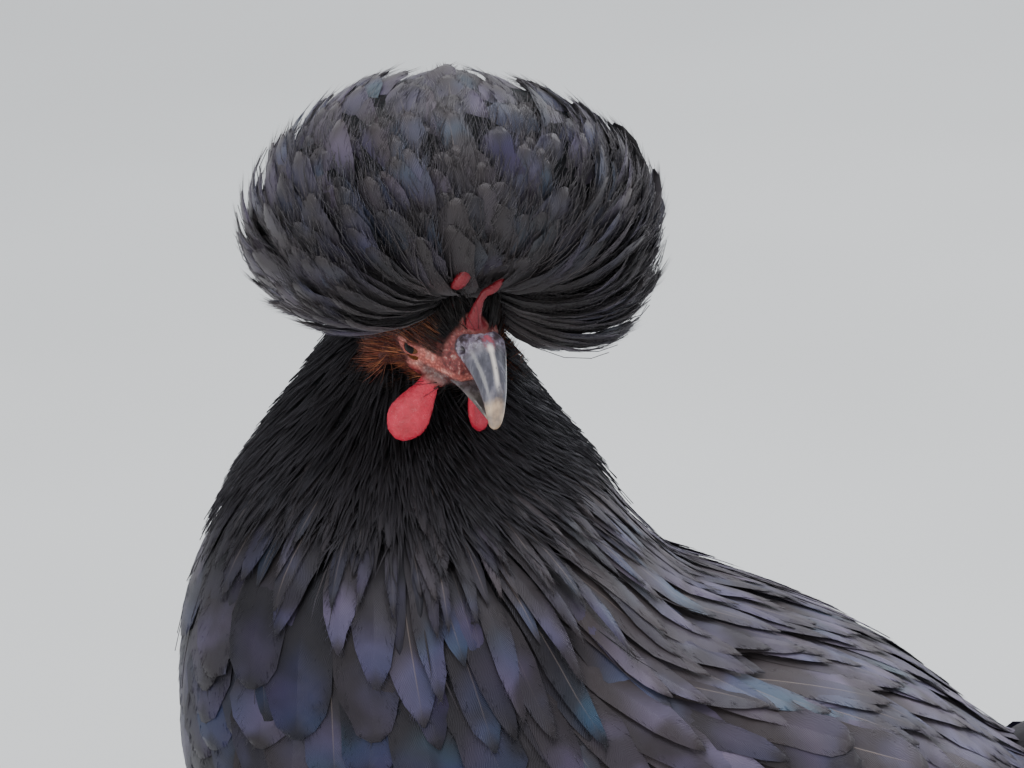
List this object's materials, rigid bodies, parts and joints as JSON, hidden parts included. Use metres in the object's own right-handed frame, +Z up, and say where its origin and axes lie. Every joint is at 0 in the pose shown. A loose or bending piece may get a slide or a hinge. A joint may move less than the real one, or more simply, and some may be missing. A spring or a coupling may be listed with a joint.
{
  "type": "crested hen figure",
  "caption": "Life-size black crested hen standing with her head turned to her left: round feather crest, V comb, wattles, folded wings, low tail and four-toed feet.",
  "frame": {"origin": "on the floor, under the middle of the hen's outline", "axes": "+Z up, the breast faces -Y, the hen's left side is +X"},
  "size_m": [0.1952, 0.3958, 0.4136],
  "materials": {
    "plumage": "feather, black with a blue and violet sheen",
    "crest_plumage": "feather, black and brown-grey",
    "face_skin": "bare wrinkled skin",
    "comb_red": "finely grained fleshy skin",
    "bill_horn": "smooth horn, dark with a pale tip",
    "lobe": "bare skin",
    "eye": "wet gloss",
    "leg_scale": "scaled horny skin, leaden blue",
    "claw": "worn horn"
  },
  "bodies": {
    "root": {"bill_lower": "bill_horn", "bill_upper": "bill_horn", "claw_left_inner": "claw", "claw_left_middle": "claw", "claw_left_outer": "claw", "claw_left_rear": "claw", "claw_right_inner": "claw", "claw_right_middle": "claw", "claw_right_outer": "claw", "claw_right_rear": "claw", "comb": "comb_red", "crest": "crest_plumage", "eye_left": "eye", "eye_right": "eye", "foot_left": "leg_scale", "foot_right": "leg_scale", "head": "face_skin", "lobe_left": "lobe", "lobe_right": "lobe", "neck": "plumage", "shank_left": "leg_scale", "shank_right": "leg_scale", "tail": "plumage", "thigh_left": "plumage", "thigh_right": "plumage", "torso": "plumage", "wattle_left": "comb_red", "wattle_right": "comb_red", "wing_left": "plumage", "wing_right": "plumage"}
  },
  "joints": []
}
